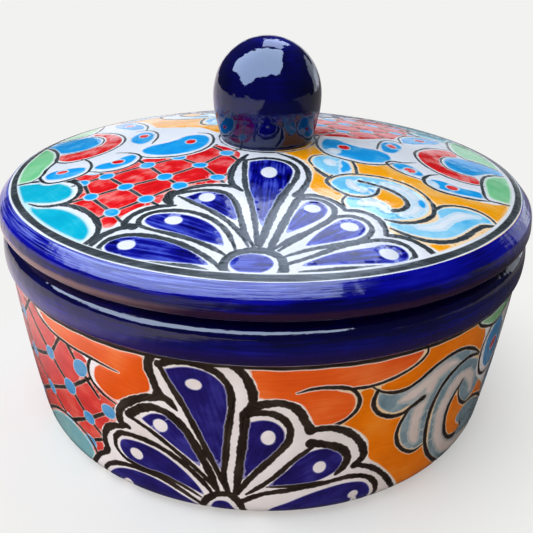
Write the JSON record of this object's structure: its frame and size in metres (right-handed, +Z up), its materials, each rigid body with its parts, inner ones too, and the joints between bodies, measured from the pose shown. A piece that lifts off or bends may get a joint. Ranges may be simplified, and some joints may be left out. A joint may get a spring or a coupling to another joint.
{
  "type": "tortilla warmer",
  "caption": "Round lidded warmer for tortillas in hand-painted glazed earthenware: a flat-bottomed bowl with a coil rim, and a domed lift-off lid with an egg-shaped knob.",
  "frame": {"origin": "centre of the foot ring's underside, on the surface that the warmer stands on", "axes": "+Z up along the axis that everything is turned about, -Y towards the front of the painted fan, +X to the right seen from the front"},
  "size_m": [0.2396, 0.2396, 0.1711],
  "materials": {
    "painted_tin_glaze": "glossy white tin glaze over earthenware, hand-painted in cobalt, red, orange, yellow, teal and green with dark outlines",
    "plain_tin_glaze": "glossy creamy white tin glaze, unpainted",
    "cobalt_glaze": "glossy deep cobalt glaze, brushed on, a little streaky",
    "bare_earthenware": "matt unglazed fired clay"
  },
  "bodies": {
    "base": {"foot_ring": "bare_earthenware", "bowl_shell": "painted_tin_glaze", "bowl_rim": "cobalt_glaze"},
    "lid": {"lid_plate": "painted_tin_glaze", "lid_edge": "cobalt_glaze", "lid_locating_ring": "plain_tin_glaze", "lid_knob": "cobalt_glaze"}
  },
  "joints": [
    {"name": "lid_lift", "type": "slide", "parent": "base", "child": "lid", "axis": [0, 0, 1], "range_m": [0, 0.06]}
  ]
}
